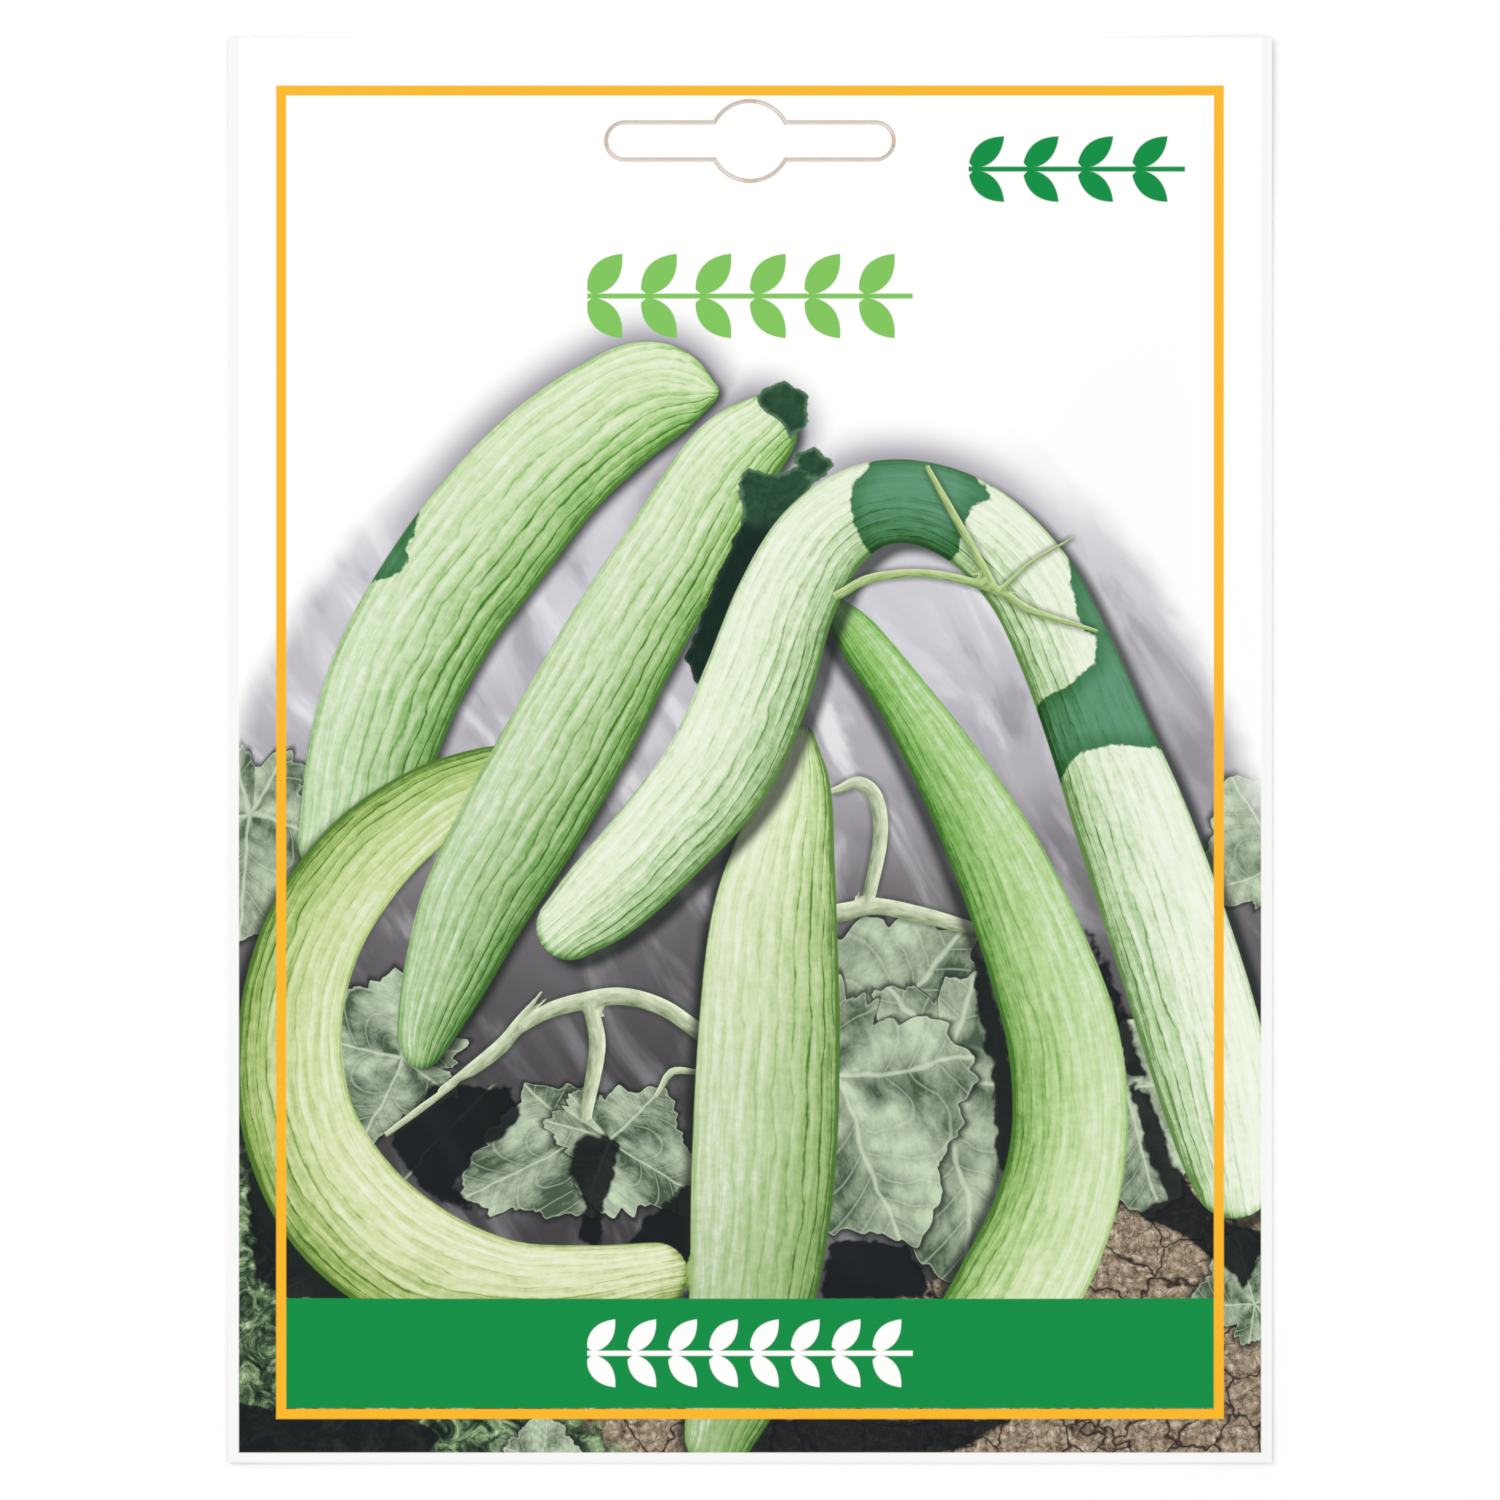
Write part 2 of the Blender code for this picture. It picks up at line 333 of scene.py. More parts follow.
class Nodes:
    """Short ways to add shader nodes. Each one returns what comes out of its node."""

    def __init__(self, tree):
        self.tree = tree

    def add(self, kind, **settings):
        prefix = "Node" if kind in ("GroupInput", "GroupOutput") else "ShaderNode"
        node = self.tree.nodes.new(prefix + kind)
        for name, value in settings.items():
            setattr(node, name, value)
        return node

    def feed(self, socket, value):
        if isinstance(value, bpy.types.NodeSocket):
            self.tree.links.new(value, socket)
        else:
            socket.default_value = value

    def math(self, operation, *values, clamp=False):
        node = self.add("Math", operation=operation, use_clamp=clamp)
        for socket, value in zip(node.inputs, values):
            self.feed(socket, value)
        return node.outputs[0]

    def minus(self, value, taken):
        return self.math("SUBTRACT", value, taken)

    def absolute(self, value):
        return self.math("ABSOLUTE", value)

    def total(self, *values):
        added = values[0]
        for value in values[1:]:
            added = self.math("ADD", added, value)
        return added

    def product(self, *values):
        made = values[0]
        for value in values[1:]:
            made = self.math("MULTIPLY", made, value)
        return made

    def step(self, value, low, high, start=0.0, end=1.0):
        """Runs smoothly from start at low to end at high, whichever of low and high is larger."""
        node = self.add("MapRange", interpolation_type="SMOOTHSTEP")
        for socket, number in zip(node.inputs, (value, low, high, start, end)):
            self.feed(socket, number)
        return node.outputs[0]

    def inside(self, outside):
        """1 inside an outline and 0 outside it, from how far outside it a place is, in millimetres."""
        return self.step(outside, INK_EDGE, -INK_EDGE)

    def swing(self, value, size):
        """Turns a value from 0 to 1 into one from -size / 2 to size / 2."""
        return self.product(self.minus(value, 0.5), size)

    def ridges(self, value):
        """0 at each multiple of pi, and 1 halfway between them."""
        return self.absolute(self.math("SINE", value))

    def clamp(self, value):
        return self.math("MULTIPLY", value, 1.0, clamp=True)

    def length(self, x, y):
        return self.math("SQRT", self.total(self.product(x, x), self.product(y, y)))

    def mix(self, share, under, over, blend="MIX"):
        """Mixes two colours: a Mix node's inputs 6 and 7 and its output 2 are its colours."""
        node = self.add("Mix", data_type="RGBA", blend_type=blend)
        self.feed(node.inputs[0], share)
        self.feed(node.inputs[6], under)
        self.feed(node.inputs[7], over)
        return node.outputs[2]

    def noise(self, place, scale, detail=3.0, roughness=0.55, distortion=0.0):
        node = self.add("TexNoise")
        self.feed(node.inputs["Vector"], place)
        node.inputs["Scale"].default_value = scale
        node.inputs["Detail"].default_value = detail
        node.inputs["Roughness"].default_value = roughness
        node.inputs["Distortion"].default_value = distortion
        return node.outputs[0]

    def cracks(self, place, scale):
        """The distance from the nearest border of an irregular net of cells."""
        node = self.add("TexVoronoi", feature="DISTANCE_TO_EDGE")
        self.feed(node.inputs["Vector"], place)
        node.inputs["Scale"].default_value = scale
        return node.outputs["Distance"]

    def join(self, x, y, z=0.0):
        node = self.add("CombineXYZ")
        for socket, value in zip(node.inputs, (x, y, z)):
            self.feed(socket, value)
        return node.outputs[0]

    def split(self, vector):
        node = self.add("SeparateXYZ")
        self.feed(node.inputs[0], vector)
        return node.outputs

    def attribute(self, name):
        return self.add("Attribute", attribute_name=name).outputs["Vector"]

    def ramp(self, value, *colours):
        node = self.add("ValToRGB")
        self.feed(node.inputs[0], value)
        elements = node.color_ramp.elements
        while len(elements) < len(colours):
            elements.new(0.5)
        for element, (position, colour) in zip(elements, colours):
            element.position = position
            element.color = colour
        return node.outputs[0]


def new_material(name):
    """A material with an empty Principled shader: returns the material, its Nodes and its shader."""
    material = bpy.data.materials.new(name)
    material.use_nodes = True
    return material, Nodes(material.node_tree), material.node_tree.nodes["Principled BSDF"]


# ---- Geometry ----


def smoothstep(value):
    value = np.clip(value, 0, 1)
    return value * value * (3 - 2 * value)


def vertex_places(mesh):
    places = np.empty(len(mesh.vertices) * 3)
    mesh.vertices.foreach_get("co", places)
    return places.reshape(-1, 3)


def set_vertex_places(mesh, places):
    mesh.vertices.foreach_set("co", places.ravel())
    mesh.update()


def set_vectors(mesh, name, values):
    attribute = mesh.attributes.new(name, "FLOAT_VECTOR", "POINT")
    attribute.data.foreach_set("vector", np.ascontiguousarray(values, np.float32).ravel())


def slot_quarter(inset):
    """A quarter of the slot's outline, made smaller by inset, from a wing's end to above the middle."""
    wing_radius = SLOT_WING_RADIUS - inset
    middle_radius = SLOT_MIDDLE_RADIUS - inset
    wing_centre = SLOT_HALF_WIDTH - SLOT_WING_RADIUS
    meeting_angle = math.asin(wing_radius / middle_radius)
    points = []
    for angle in np.linspace(math.asin(HALF_NICK / wing_radius), math.pi / 2, ARC_STEPS):
        points.append((wing_centre + wing_radius * math.cos(angle), wing_radius * math.sin(angle)))
    for angle in np.linspace(meeting_angle, math.acos(HALF_NICK / middle_radius), ARC_STEPS):
        points.append((middle_radius * math.cos(angle), middle_radius * math.sin(angle)))
    return points


def kerf_cutter():
    """Four thin strips round the tab, with uncut nicks between them, as one upright cutter."""
    outline = bpy.data.curves.new("slot_kerf", "CURVE")
    outline.dimensions = "2D"
    outline.fill_mode = "BOTH"
    outline.extrude = CUTTER_HALF_DEPTH
    strip = slot_quarter(0) + slot_quarter(KERF)[::-1]
    slot_y = TOP_EDGE - SLOT_BELOW_TOP
    for side_x in (-1, 1):
        for side_y in (-1, 1):
            spline = outline.splines.new("POLY")
            spline.points.add(len(strip) - 1)
            for point, (x, y) in zip(spline.points, strip):
                point.co = (side_x * x, slot_y + side_y * y, 0, 1)
            spline.use_cyclic_u = True
    drawn = bpy.data.objects.new("slot_kerf", outline)
    bpy.context.scene.collection.objects.link(drawn)
    bpy.context.view_layer.update()
    mesh = bpy.data.meshes.new_from_object(drawn.evaluated_get(bpy.context.evaluated_depsgraph_get()))
    bpy.data.objects.remove(drawn)
    shape = bmesh.new()
    shape.from_mesh(mesh)
    bmesh.ops.remove_doubles(shape, verts=shape.verts, dist=WELD_DISTANCE)
    bmesh.ops.recalc_face_normals(shape, faces=shape.faces)
    shape.to_mesh(mesh)
    shape.free()
    cutter = bpy.data.objects.new("slot_kerf_cutter", mesh)
    bpy.context.scene.collection.objects.link(cutter)
    return cutter


def cut_sheet(name, level, cutter):
    """One flat web with its thickness and its slot kerf, as a plain mesh of fine cells."""
    bpy.ops.mesh.primitive_grid_add(x_subdivisions=SHEET_CELLS[0], y_subdivisions=SHEET_CELLS[1], size=1)
    sheet = bpy.context.object
    sheet.name = name
    places = vertex_places(sheet.data)
    places *= (WIDTH, HEIGHT, 1)
    places[:, 2] = level
    set_vertex_places(sheet.data, places)
    thickness = sheet.modifiers.new("Web thickness", "SOLIDIFY")
    thickness.thickness = WEB_THICKNESS
    thickness.offset = 1
    cut = sheet.modifiers.new("Slot kerf", "BOOLEAN")
    cut.operation = "DIFFERENCE"
    cut.object = cutter
    bpy.context.view_layer.update()
    made = bpy.data.meshes.new_from_object(sheet.evaluated_get(bpy.context.evaluated_depsgraph_get()))
    sheet.modifiers.clear()
    sheet.data = made
    return sheet


def corner_lift(x, y):
    """Paper corners stand up a little, both webs together."""
    from_corner = (1 - np.abs(x) / WIDTH - np.abs(y) / HEIGHT) * (WIDTH + HEIGHT) / 2
    uneven = 0.65 + 0.35 * np.sin(np.arctan2(y, x) * 1.5 + 0.6)
    return CORNER_LIFT * smoothstep(1 - from_corner / CORNER_REACH) * uneven


def pouch_share(x, y):
    """0 on the seals, 1 over the level middle of the pouch."""
    across = (WIDTH / 2 - SIDE_SEAL - np.abs(x)) / POUCH_SLOPE
    above_bottom = (y + HEIGHT / 2 - BOTTOM_SEAL) / POUCH_SLOPE
    below_header = (TOP_EDGE - HEADER_SEAL - y) / POUCH_SLOPE
    return smoothstep(across) * smoothstep(above_bottom) * smoothstep(below_header)


def seed_bumps(x, y):
    """Where the front web lies on a seed it stands a little proud."""
    bumps = np.zeros_like(x)
    for name in SEEDS:
        low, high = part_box(name)
        middle = (low + high) / 2
        near = (x - middle.x) ** 2 + (y - middle.y) ** 2
        bumps = np.maximum(bumps, np.exp(-near / (2 * SEED_BUMP_REACH**2)))
    return SEED_BUMP * bumps


def creases(place, pitch, drift, sway):
    """Uneven waves along a seal, from -1 to 1."""
    return np.sin(place / pitch + sway * np.sin(place / drift))


def puckers(x, y):
    """Short creases that run in from the seals, deepest where the web turns up from them."""
    share = pouch_share(x, y)
    edge = 4 * share * (1 - share)
    at_sides = smoothstep(np.abs(x) / (WIDTH / 2))
    waves = at_sides * creases(y, **SIDE_CREASES) + (1 - at_sides) * creases(x, **END_CREASES)
    return PUCKER * edge * waves


def paper_waves(x, y):
    """Wide, faint waves in the loose middle of the web."""
    return WAVE * (np.sin(x / WAVE_ACROSS + 0.8) * np.sin(y / WAVE_UP + 0.3) + 1) / 2


def shape_front(sheet):
    """Lifts the flat web over the pouch and its seeds."""
    places = vertex_places(sheet.data)
    x, y = places[:, 0], places[:, 1]
    share = pouch_share(x, y)
    places[:, 2] += share * (POUCH_RISE - SEED_BUMP) + seed_bumps(x, y) * share
    places[:, 2] += puckers(x, y) + share * paper_waves(x, y) + corner_lift(x, y)
    set_vertex_places(sheet.data, places)
    sheet.data.shade_smooth()
    sheet.data.set_sharp_from_angle(angle=SHARP_ANGLE)


def shape_back(sheet):
    """Lifts only the corners: the back lies flat."""
    places = vertex_places(sheet.data)
    places[:, 2] += corner_lift(places[:, 0], places[:, 1])
    set_vertex_places(sheet.data, places)
    sheet.data.shade_smooth()
    sheet.data.set_sharp_from_angle(angle=SHARP_ANGLE)


# ---- The print's guides: smooth numbers on the front web's vertices, for its ink to draw from ----


def smooth_path(points):
    """Samples of a smooth curve through all of a path's points, each with its half width."""
    points = np.array(points, float)
    padded = np.vstack((2 * points[0] - points[1], points, 2 * points[-1] - points[-2]))
    samples = []
    for before, start, end, after in zip(padded, padded[1:], padded[2:], padded[3:]):
        for t in np.arange(PATH_STEPS) / PATH_STEPS:
            bend = 2 * before - 5 * start + 4 * end - after
            twist = -before + 3 * start - 3 * end + after
            samples.append(start + 0.5 * t * (end - before + t * (bend + t * twist)))
    samples.append(points[-1])
    return np.array(samples)


def along_path(points, x, y):
    """For each place: how far it is outside the path's outline, along the path, and across it.

    Across is in half widths, to the left of the way the path runs. The fourth value is the distance
    from the path's nearest sample, in half widths, squared.
    """
    samples = smooth_path(points)
    steps = np.gradient(samples[:, :2], axis=0)
    tangents = steps / np.linalg.norm(steps, axis=1)[:, None]
    lengths = np.concatenate(((0,), np.cumsum(np.linalg.norm(np.diff(samples[:, :2], axis=0), axis=1))))
    outside = np.full(len(x), np.inf)
    nearest = np.zeros(len(x), int)
    for number, (centre_x, centre_y, half_width) in enumerate(samples):
        found = np.hypot(x - centre_x, y - centre_y) - half_width
        closer = found < outside
        outside[closer] = found[closer]
        nearest[closer] = number
    sample, tangent = samples[nearest], tangents[nearest]
    offset = np.stack((x - sample[:, 0], y - sample[:, 1]), 1)
    along = lengths[nearest] + (offset * tangent).sum(1)
    across = (offset[:, 1] * tangent[:, 0] - offset[:, 0] * tangent[:, 1]) / sample[:, 2]
    return outside, along, across, (offset**2).sum(1) / sample[:, 2] ** 2


def outside_outlines(outlines, x, y):
    """How far each place is outside a group of closed outlines: less than 0 inside them."""
    outside = np.full(len(x), FAR)
    for outline in outlines:
        corners = np.array(outline, float)
        distance = np.full(len(x), FAR)
        inside = np.zeros(len(x), bool)
        for start, end in zip(corners, np.roll(corners, -1, axis=0)):
            side = end - start
            share = ((x - start[0]) * side[0] + (y - start[1]) * side[1]) / (side @ side)
            share = np.clip(share, 0, 1)
            distance = np.minimum(
                distance, np.hypot(x - start[0] - share * side[0], y - start[1] - share * side[1])
            )
            level = (start[1] > y) != (end[1] > y)
            left = x < start[0] + (y - start[1]) * side[0] / (side[1] or 1)
            inside ^= level & left
        outside = np.minimum(outside, np.where(inside, -distance, distance))
    return outside


def fruit_guides(fruit, x, y):
    """One fruit's shape, light, band, body and pale guides, for every place."""
    outside, along, across, radial = along_path(fruit["path"], x, y)
    shift_x, shift_y = fruit["shadow"]
    shadow = along_path(fruit["path"], x - shift_x, y - shift_y)[0]
    towards_light = fruit["lit_side"] * across
    bands = outside_outlines(fruit["bands"], x, y)
    down = np.clip(along / along[outside < 0].max(), 0, 1)[:, None]
    tints = {
        kind: np.array(fruit[kind][0][:3]) * (1 - down) + np.array(fruit[kind][1][:3]) * down
        for kind in ("body", "pale")
    }
    ribbing = np.full(len(x), fruit["ribbing"])
    return {
        "shape": np.stack((outside, along, across), 1),
        "light": np.stack((towards_light, radial, shadow), 1),
        "bands": np.stack((bands, ribbing, np.zeros_like(bands)), 1),
        **tints,
    }


def guide_fruit_layer(mesh, number, x, y):
    """Each place takes the guides of the layer's nearest fruit. Returns its distance outside that fruit."""
    chosen = None
    for name in FRUIT_LAYERS[number]:
        guides = fruit_guides(LONG_FRUIT[name], x, y)
        if chosen is None:
            chosen = guides
            continue
        closer = guides["shape"][:, 0] < chosen["shape"][:, 0]
        chosen = {kind: np.where(closer[:, None], guides[kind], chosen[kind]) for kind in guides}
    for kind, values in chosen.items():
        set_vectors(mesh, f"fruit_{number}_{kind}", values)
    return chosen["shape"][:, 0]


def guide_leaf_layer(mesh, number, x, y):
    """Each place as the layer's nearest leaf has it: down its middle vein and aside, in leaf lengths.

    The third value is the leaf's length, or 0 well away from it.
    """
    nearest = np.full(len(x), np.inf)
    values = np.zeros((len(x), 3))
    for stalk_x, stalk_y, length, turn, width in LEAF_LAYERS[number]:
        angle = math.radians(turn)
        down = ((x - stalk_x) * math.cos(angle) + (y - stalk_y) * math.sin(angle)) / length
        aside = ((y - stalk_y) * math.cos(angle) - (x - stalk_x) * math.sin(angle)) / (length * width)
        reach = np.hypot(down - LEAF_MIDDLE, aside) * length
        closer = reach < nearest
        nearest[closer] = reach[closer]
        size = np.where(reach < LEAF_REACH * length, length, 0)
        values[closer] = np.stack((down, aside, size), 1)[closer]
    set_vectors(mesh, f"leaf_{number}", values)


def guide_vines(mesh, name, vines, x, y):
    """Across, distance and length along whichever vine is nearest."""
    best = np.full(len(x), np.inf)
    values = np.zeros((len(x), 3))
    for vine in vines:
        outside, along, across, _ = along_path(vine, x, y)
        closer = outside < best
        best[closer] = outside[closer]
        values[closer] = np.stack((across, outside, along), 1)[closer]
    set_vectors(mesh, name, values)


def guide_print(sheet):
    """Stores what the front's ink needs to know about each vertex."""
    mesh = sheet.data
    places = vertex_places(mesh)
    x, y = places[:, 0] / MM, places[:, 1] / MM
    set_vectors(mesh, "print_place", np.stack((x, y, np.zeros_like(x)), 1))
    outside = [guide_fruit_layer(mesh, number, x, y) for number in range(len(FRUIT_LAYERS))]
    for number in range(len(LEAF_LAYERS)):
        guide_leaf_layer(mesh, number, x, y)
    nearest_fruit = np.min(outside, axis=0)
    gaps = outside_outlines(GAPS, x, y)
    dark_leaves = outside_outlines(DARK_LEAVES, x, y)
    set_vectors(mesh, "picture_depth", np.stack((nearest_fruit, gaps, dark_leaves), 1))
    guide_vines(mesh, "vines_behind", VINES_BEHIND, x, y)
    guide_vines(mesh, "vines_in_front", VINES_IN_FRONT, x, y)


# ---- The front's ink ----


def new_group(name, **inputs):
    """A node group that gives a colour. Returns it, its Nodes and the values it is given."""
    tree = bpy.data.node_groups.new(name, "ShaderNodeTree")
    for title, kind in inputs.items():
        tree.interface.new_socket(name=title, in_out="INPUT", socket_type=f"NodeSocket{kind}")
    tree.interface.new_socket(name="Colour", in_out="OUTPUT", socket_type="NodeSocketColor")
    nodes = Nodes(tree)
    return tree, nodes, nodes.add("GroupInput").outputs


def fruit_group():
    """A node group that draws one ribbed long fruit, and its soft shadow, over what lies under it."""
    tree, nodes, given = new_group(
        "printed_long_fruit", Under="Color", Shape="Vector", Light="Vector", Bands="Vector",
        Place="Vector", Body="Color", Pale="Color",
    )
    outside, along, across = nodes.split(given["Shape"])
    towards_light, radial, shadow = nodes.split(given["Light"])
    bands, ribbing, _ = nodes.split(given["Bands"])

    under = nodes.mix(nodes.step(shadow, 0.9, -0.5, end=0.85), given["Under"], ink(22, 32, 28))

    # The ribs run round the fruit evenly by angle, so they crowd towards its edges.
    clamped = nodes.math("MAXIMUM", nodes.math("MINIMUM", across, 0.985), -0.985)
    round_angle = nodes.math("ARCSINE", clamped)
    facing = nodes.math("SQRT", nodes.math("SUBTRACT", 1, radial, clamp=True))
    wobble = nodes.noise(nodes.join(nodes.product(along, 0.09), round_angle), 1.6, detail=3)
    rib_place = nodes.total(nodes.product(round_angle, 3.9), nodes.product(wobble, 1.25))
    flank = nodes.math("SINE", nodes.product(rib_place, 2 * math.pi))
    rib = nodes.ridges(nodes.product(rib_place, math.pi))
    streak_place = nodes.join(nodes.product(round_angle, 4.5), nodes.product(along, 0.07), 3)
    streaks = nodes.noise(streak_place, 2.1, detail=4, roughness=0.6)
    mottle = nodes.noise(given["Place"], 0.9, detail=4, roughness=0.65)

    # The tone is 0 in deep shade and 1 on the shine.
    tone = nodes.total(
        0.36,
        nodes.product(towards_light, 0.26),
        nodes.product(facing, 0.24),
        nodes.swing(streaks, 0.72),
        nodes.swing(mottle, 0.42),
        nodes.product(flank, ribbing, 0.06),
    )
    groove = nodes.step(rib, 0.42, 0)
    depth = nodes.step(towards_light, 0.8, -0.8, start=0.10, end=0.40)
    depth = nodes.product(depth, nodes.step(streaks, 0.66, 0.4, start=0.5), ribbing)
    rim = nodes.step(outside, -0.9, 0.05, end=0.24)
    tone = nodes.math("SUBTRACT", tone, nodes.total(nodes.product(groove, depth), rim), clamp=True)

    shade = nodes.mix(1, given["Body"], ink(136, 168, 116), blend="MULTIPLY")
    shine = nodes.mix(0.5, given["Pale"], PAPER_WHITE)
    body = nodes.mix(nodes.step(tone, 0, 0.36), shade, given["Body"])
    body = nodes.mix(nodes.step(tone, 0.26, 0.68), body, given["Pale"])
    body = nodes.mix(nodes.step(tone, 0.58, 0.95), body, shine)

    # Leaf shadows have ragged borders, and are darkest beside them.
    ragged = nodes.total(bands, nodes.swing(mottle, 1.1))
    leaf_shadow = nodes.mix(nodes.step(bands, -2.6, 0), ink(104, 158, 136), ink(74, 134, 98))
    shaded = nodes.mix(1, body, leaf_shadow, blend="MULTIPLY")
    body = nodes.mix(nodes.step(ragged, 0.15, -0.15), body, shaded)
    output = nodes.add("GroupOutput")
    nodes.feed(output.inputs["Colour"], nodes.mix(nodes.inside(outside), under, body))
    return tree


def leaf_group():
    """A node group that draws one lobed, veined leaf over what lies under it.

    The leaf's x runs down its middle vein and its y aside, both in leaf lengths.
    """
    tree, nodes, given = new_group(
        "printed_leaf", Under="Color", Place="Vector", Leaf="Vector", Tone="Float"
    )
    x, y, length = nodes.split(given["Leaf"])
    folds = nodes.noise(given["Place"], 0.13, detail=2)
    crumple = nodes.swing(folds, 0.14)
    x = nodes.total(x, crumple)
    y = nodes.minus(y, crumple)

    # The outline: longer down the middle vein, with lobes and ragged teeth.
    share = nodes.length(x, y)
    angle = nodes.math("ARCTAN2", y, x)
    teeth = nodes.noise(nodes.join(nodes.product(angle, 1.5), length), 3.2, detail=1.5)
    edge = nodes.total(
        0.60,
        nodes.product(nodes.math("COSINE", angle), 0.22),
        nodes.product(nodes.math("COSINE", nodes.product(angle, LEAF_LOBES)), 0.09),
        nodes.swing(teeth, 0.34),
    )
    outside = nodes.product(nodes.minus(share, edge), length)

    # One vein runs down each lobe, with side veins that lean away from it.
    from_vein = nodes.ridges(nodes.product(angle, LEAF_LOBES / 2))
    vein = nodes.step(nodes.product(from_vein, share), 0.04, 0.008)
    side_vein_place = nodes.minus(share, nodes.product(from_vein, share, 0.42))
    quilting = nodes.ridges(nodes.product(side_vein_place, 24))
    side_vein = nodes.product(nodes.step(quilting, 0.26, 0.02, end=0.55), nodes.step(share, 0.12, 0.34))
    veins = nodes.math("MAXIMUM", vein, side_vein)
    wrinkle_place = nodes.join(nodes.product(x, 6), nodes.product(y, 9), length)
    wrinkles = nodes.noise(wrinkle_place, 1, detail=6, roughness=0.72)

    slopes = nodes.math("SINE", nodes.product(angle, LEAF_LOBES))
    tone = nodes.total(
        given["Tone"],
        nodes.product(folds, 1.3),
        nodes.product(wrinkles, 1.7),
        nodes.product(quilting, 0.26),
        nodes.product(slopes, 0.24),
    )
    blade = nodes.mix(nodes.clamp(tone), ink(70, 90, 68), ink(196, 212, 182))
    blade = nodes.mix(nodes.product(veins, 0.6), blade, ink(214, 226, 200))
    blade = nodes.mix(nodes.step(outside, -0.35, 0, end=0.5), blade, ink(196, 208, 186))
    near = nodes.step(length, 1, 2)
    shadow = nodes.product(nodes.step(outside, 1.1, 0, end=0.85), near)
    under = nodes.mix(shadow, given["Under"], ink(24, 32, 30))
    covered = nodes.product(nodes.inside(outside), near)
    output = nodes.add("GroupOutput")
    nodes.feed(output.inputs["Colour"], nodes.mix(covered, under, blade))
    return tree


def use_group(nodes, tree, **values):
    """What a node group draws from the given values."""
    node = nodes.add("Group", node_tree=tree)
    for name, value in values.items():
        nodes.feed(node.inputs[name], value)
    return node.outputs[0]


def ground(nodes, place, x, y):
    """What the fruit lies on: draped grey sheeting, soil at the bottom, and undergrowth at the left."""
    clouds = nodes.noise(place, 0.055, detail=2)
    across_drape = nodes.total(nodes.product(x, 0.15), nodes.product(y, 0.09))
    along_drape = nodes.total(nodes.product(x, -0.025), nodes.product(y, 0.045))
    drape = nodes.noise(nodes.join(across_drape, along_drape), 1, detail=4, roughness=0.5, distortion=0.5)
    height = nodes.total(y, nodes.swing(clouds, 22))
    sheeting = nodes.ramp(
        nodes.step(height, -46, 22),
        (0, ink(66, 64, 66)), (0.4, ink(112, 108, 112)),
        (0.72, ink(168, 165, 171)), (1, ink(206, 205, 211)),
    )
    sheeting = nodes.mix(nodes.step(drape, 0.48, 0.3, end=0.45), sheeting, ink(112, 108, 116))
    bright = nodes.product(nodes.step(drape, 0.5, 0.72, end=0.75), nodes.step(height, -30, 0, start=0.25))
    sheeting = nodes.mix(bright, sheeting, ink(240, 240, 243))

    litter = nodes.noise(place, 0.42, detail=5, roughness=0.7, distortion=1)
    ragged = nodes.swing(litter, 9)
    right_soil = nodes.total(nodes.product(x, 0.55), nodes.product(y, -1), ragged, -69.5)
    bottom_soil = nodes.total(nodes.product(y, -1), ragged, -66)
    soil_share = nodes.step(nodes.math("MAXIMUM", right_soil, bottom_soil), -0.6, 0.6)
    mixed = nodes.mix(soil_share, sheeting, soil_ink(nodes, place))
    left_growth = nodes.total(nodes.product(x, -1), nodes.product(y, -0.9), ragged, -84)
    undergrowth = nodes.ramp(
        litter,
        (0.36, ink(18, 26, 24)), (0.47, ink(58, 80, 56)),
        (0.56, ink(122, 148, 104)), (0.68, ink(196, 212, 176)),
    )
    return nodes.mix(nodes.step(left_growth, -1.5, 1.5), mixed, undergrowth)


def deep_shade(nodes, under, place, gaps):
    """Nearly black inside the gaps, whose borders are uneven."""
    uneven = nodes.noise(place, 0.4, detail=2)
    outside = nodes.total(gaps, nodes.swing(uneven, 2.4))
    return nodes.mix(nodes.step(outside, 0.25, -0.25, end=0.97), under, ink(12, 20, 24))


def soil_ink(nodes, place):
    """Dry brown soil with cracks and pebbles."""
    bent = nodes.add("VectorMath", operation="ADD")
    nodes.feed(bent.inputs[0], place)
    shake = nodes.add("TexNoise")
    nodes.feed(shake.inputs["Vector"], place)
    shake.inputs["Scale"].default_value = 0.5
    shift = nodes.add("VectorMath", operation="SCALE")
    nodes.feed(shift.inputs[0], shake.outputs["Color"])
    shift.inputs["Scale"].default_value = 2.6
    nodes.feed(bent.inputs[1], shift.outputs[0])
    crack = nodes.step(nodes.cracks(bent.outputs[0], 0.17), 0.05, 0)
    fine_crack = nodes.step(nodes.cracks(bent.outputs[0], 0.55), 0.07, 0, end=0.55)
    lumps = nodes.noise(place, 1.1, detail=5, roughness=0.7)
    soil = nodes.ramp(
        lumps,
        (0.3, ink(58, 46, 38)), (0.44, ink(134, 116, 94)),
        (0.56, ink(172, 156, 134)), (0.7, ink(226, 214, 198)),
    )
    return nodes.mix(nodes.math("MAXIMUM", crack, fine_crack), soil, ink(48, 38, 34))


